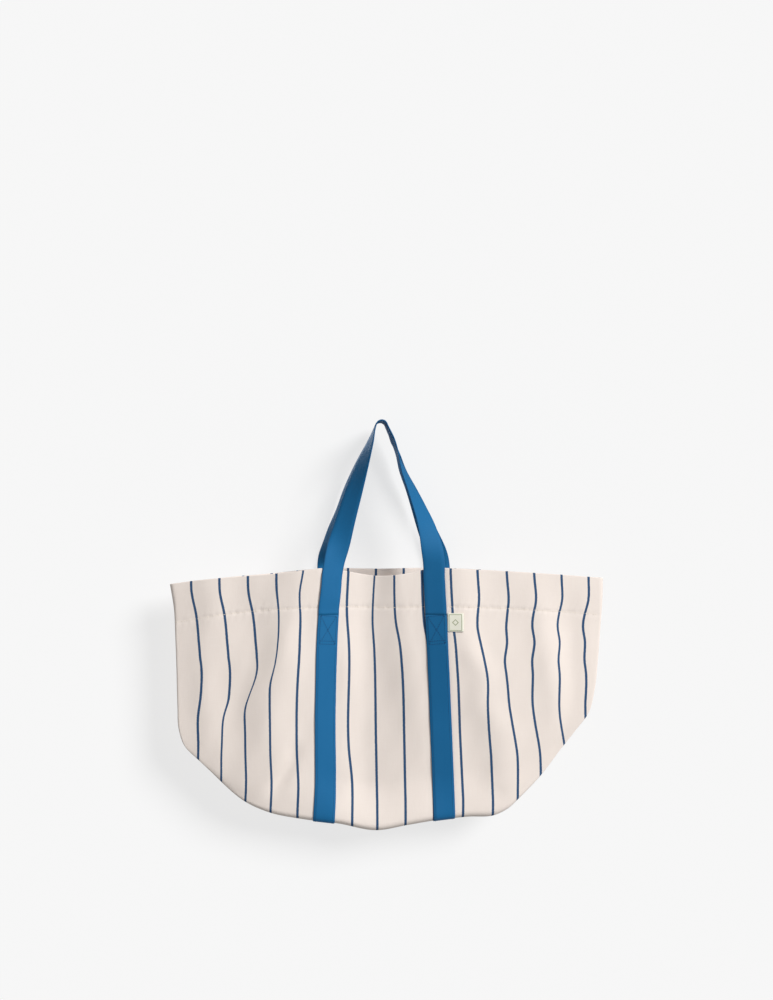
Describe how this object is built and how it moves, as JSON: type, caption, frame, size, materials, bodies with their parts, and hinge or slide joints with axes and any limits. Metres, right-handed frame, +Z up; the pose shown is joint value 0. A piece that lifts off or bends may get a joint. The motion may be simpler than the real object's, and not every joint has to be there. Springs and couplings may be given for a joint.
{
  "type": "laundry bag",
  "caption": "Large canvas laundry tote with webbing straps sewn over the body and handle loops that hang from a peg.",
  "frame": {"origin": "on the axis of the peg that both handle loops hang from", "axes": "+X to the right along the rim, -Y to the front of the bag, +Z up"},
  "size_m": [0.6994, 0.0973, 0.6636],
  "materials": {
    "canvas": "plain-weave cotton canvas, cream with thin navy stripes",
    "webbing": "ribbed blue webbing",
    "webbing_thread": "blue sewing thread",
    "canvas_thread": "cream sewing thread",
    "label": "woven satin tab"
  },
  "bodies": {
    "bag_rear": {"rear_panel": "canvas", "rear_hem": "canvas", "rear_hem_stitching": "canvas_thread", "rear_left_strap": "webbing", "rear_left_strap_stitching": "webbing_thread", "rear_left_box_stitch": "webbing_thread", "rear_right_strap": "webbing", "rear_right_strap_stitching": "webbing_thread", "rear_right_box_stitch": "webbing_thread", "left_side_seam": "canvas", "left_corner_seam": "canvas", "right_side_seam": "canvas", "right_corner_seam": "canvas"},
    "bag_front": {"front_panel": "canvas", "front_hem": "canvas", "front_hem_stitching": "canvas_thread", "front_left_strap": "webbing", "front_left_strap_stitching": "webbing_thread", "front_left_box_stitch": "webbing_thread", "front_right_strap": "webbing", "front_right_strap_stitching": "webbing_thread", "front_right_box_stitch": "webbing_thread", "woven_label": "label"},
    "handle_front": {"front_handle_webbing": "webbing"},
    "handle_rear": {"rear_handle_webbing": "webbing"}
  },
  "joints": [
    {"name": "mouth_opening", "type": "hinge", "parent": "bag_rear", "child": "bag_front", "pos_m": [0, 0, -0.65], "axis": [1, 0, 0], "range_deg": [0, 12], "stiffness_Nm_per_rad": 0.5, "springref_deg": -28.65},
    {"name": "front_handle_fold", "type": "hinge", "parent": "bag_front", "child": "handle_front", "pos_m": [0, -0.0484, -0.2984], "axis": [1, 0, 0], "range_deg": [0, 178]},
    {"name": "rear_handle_fold", "type": "hinge", "parent": "bag_rear", "child": "handle_rear", "pos_m": [0, 0.0484, -0.2984], "axis": [-1, 0, 0], "range_deg": [0, 178]}
  ]
}
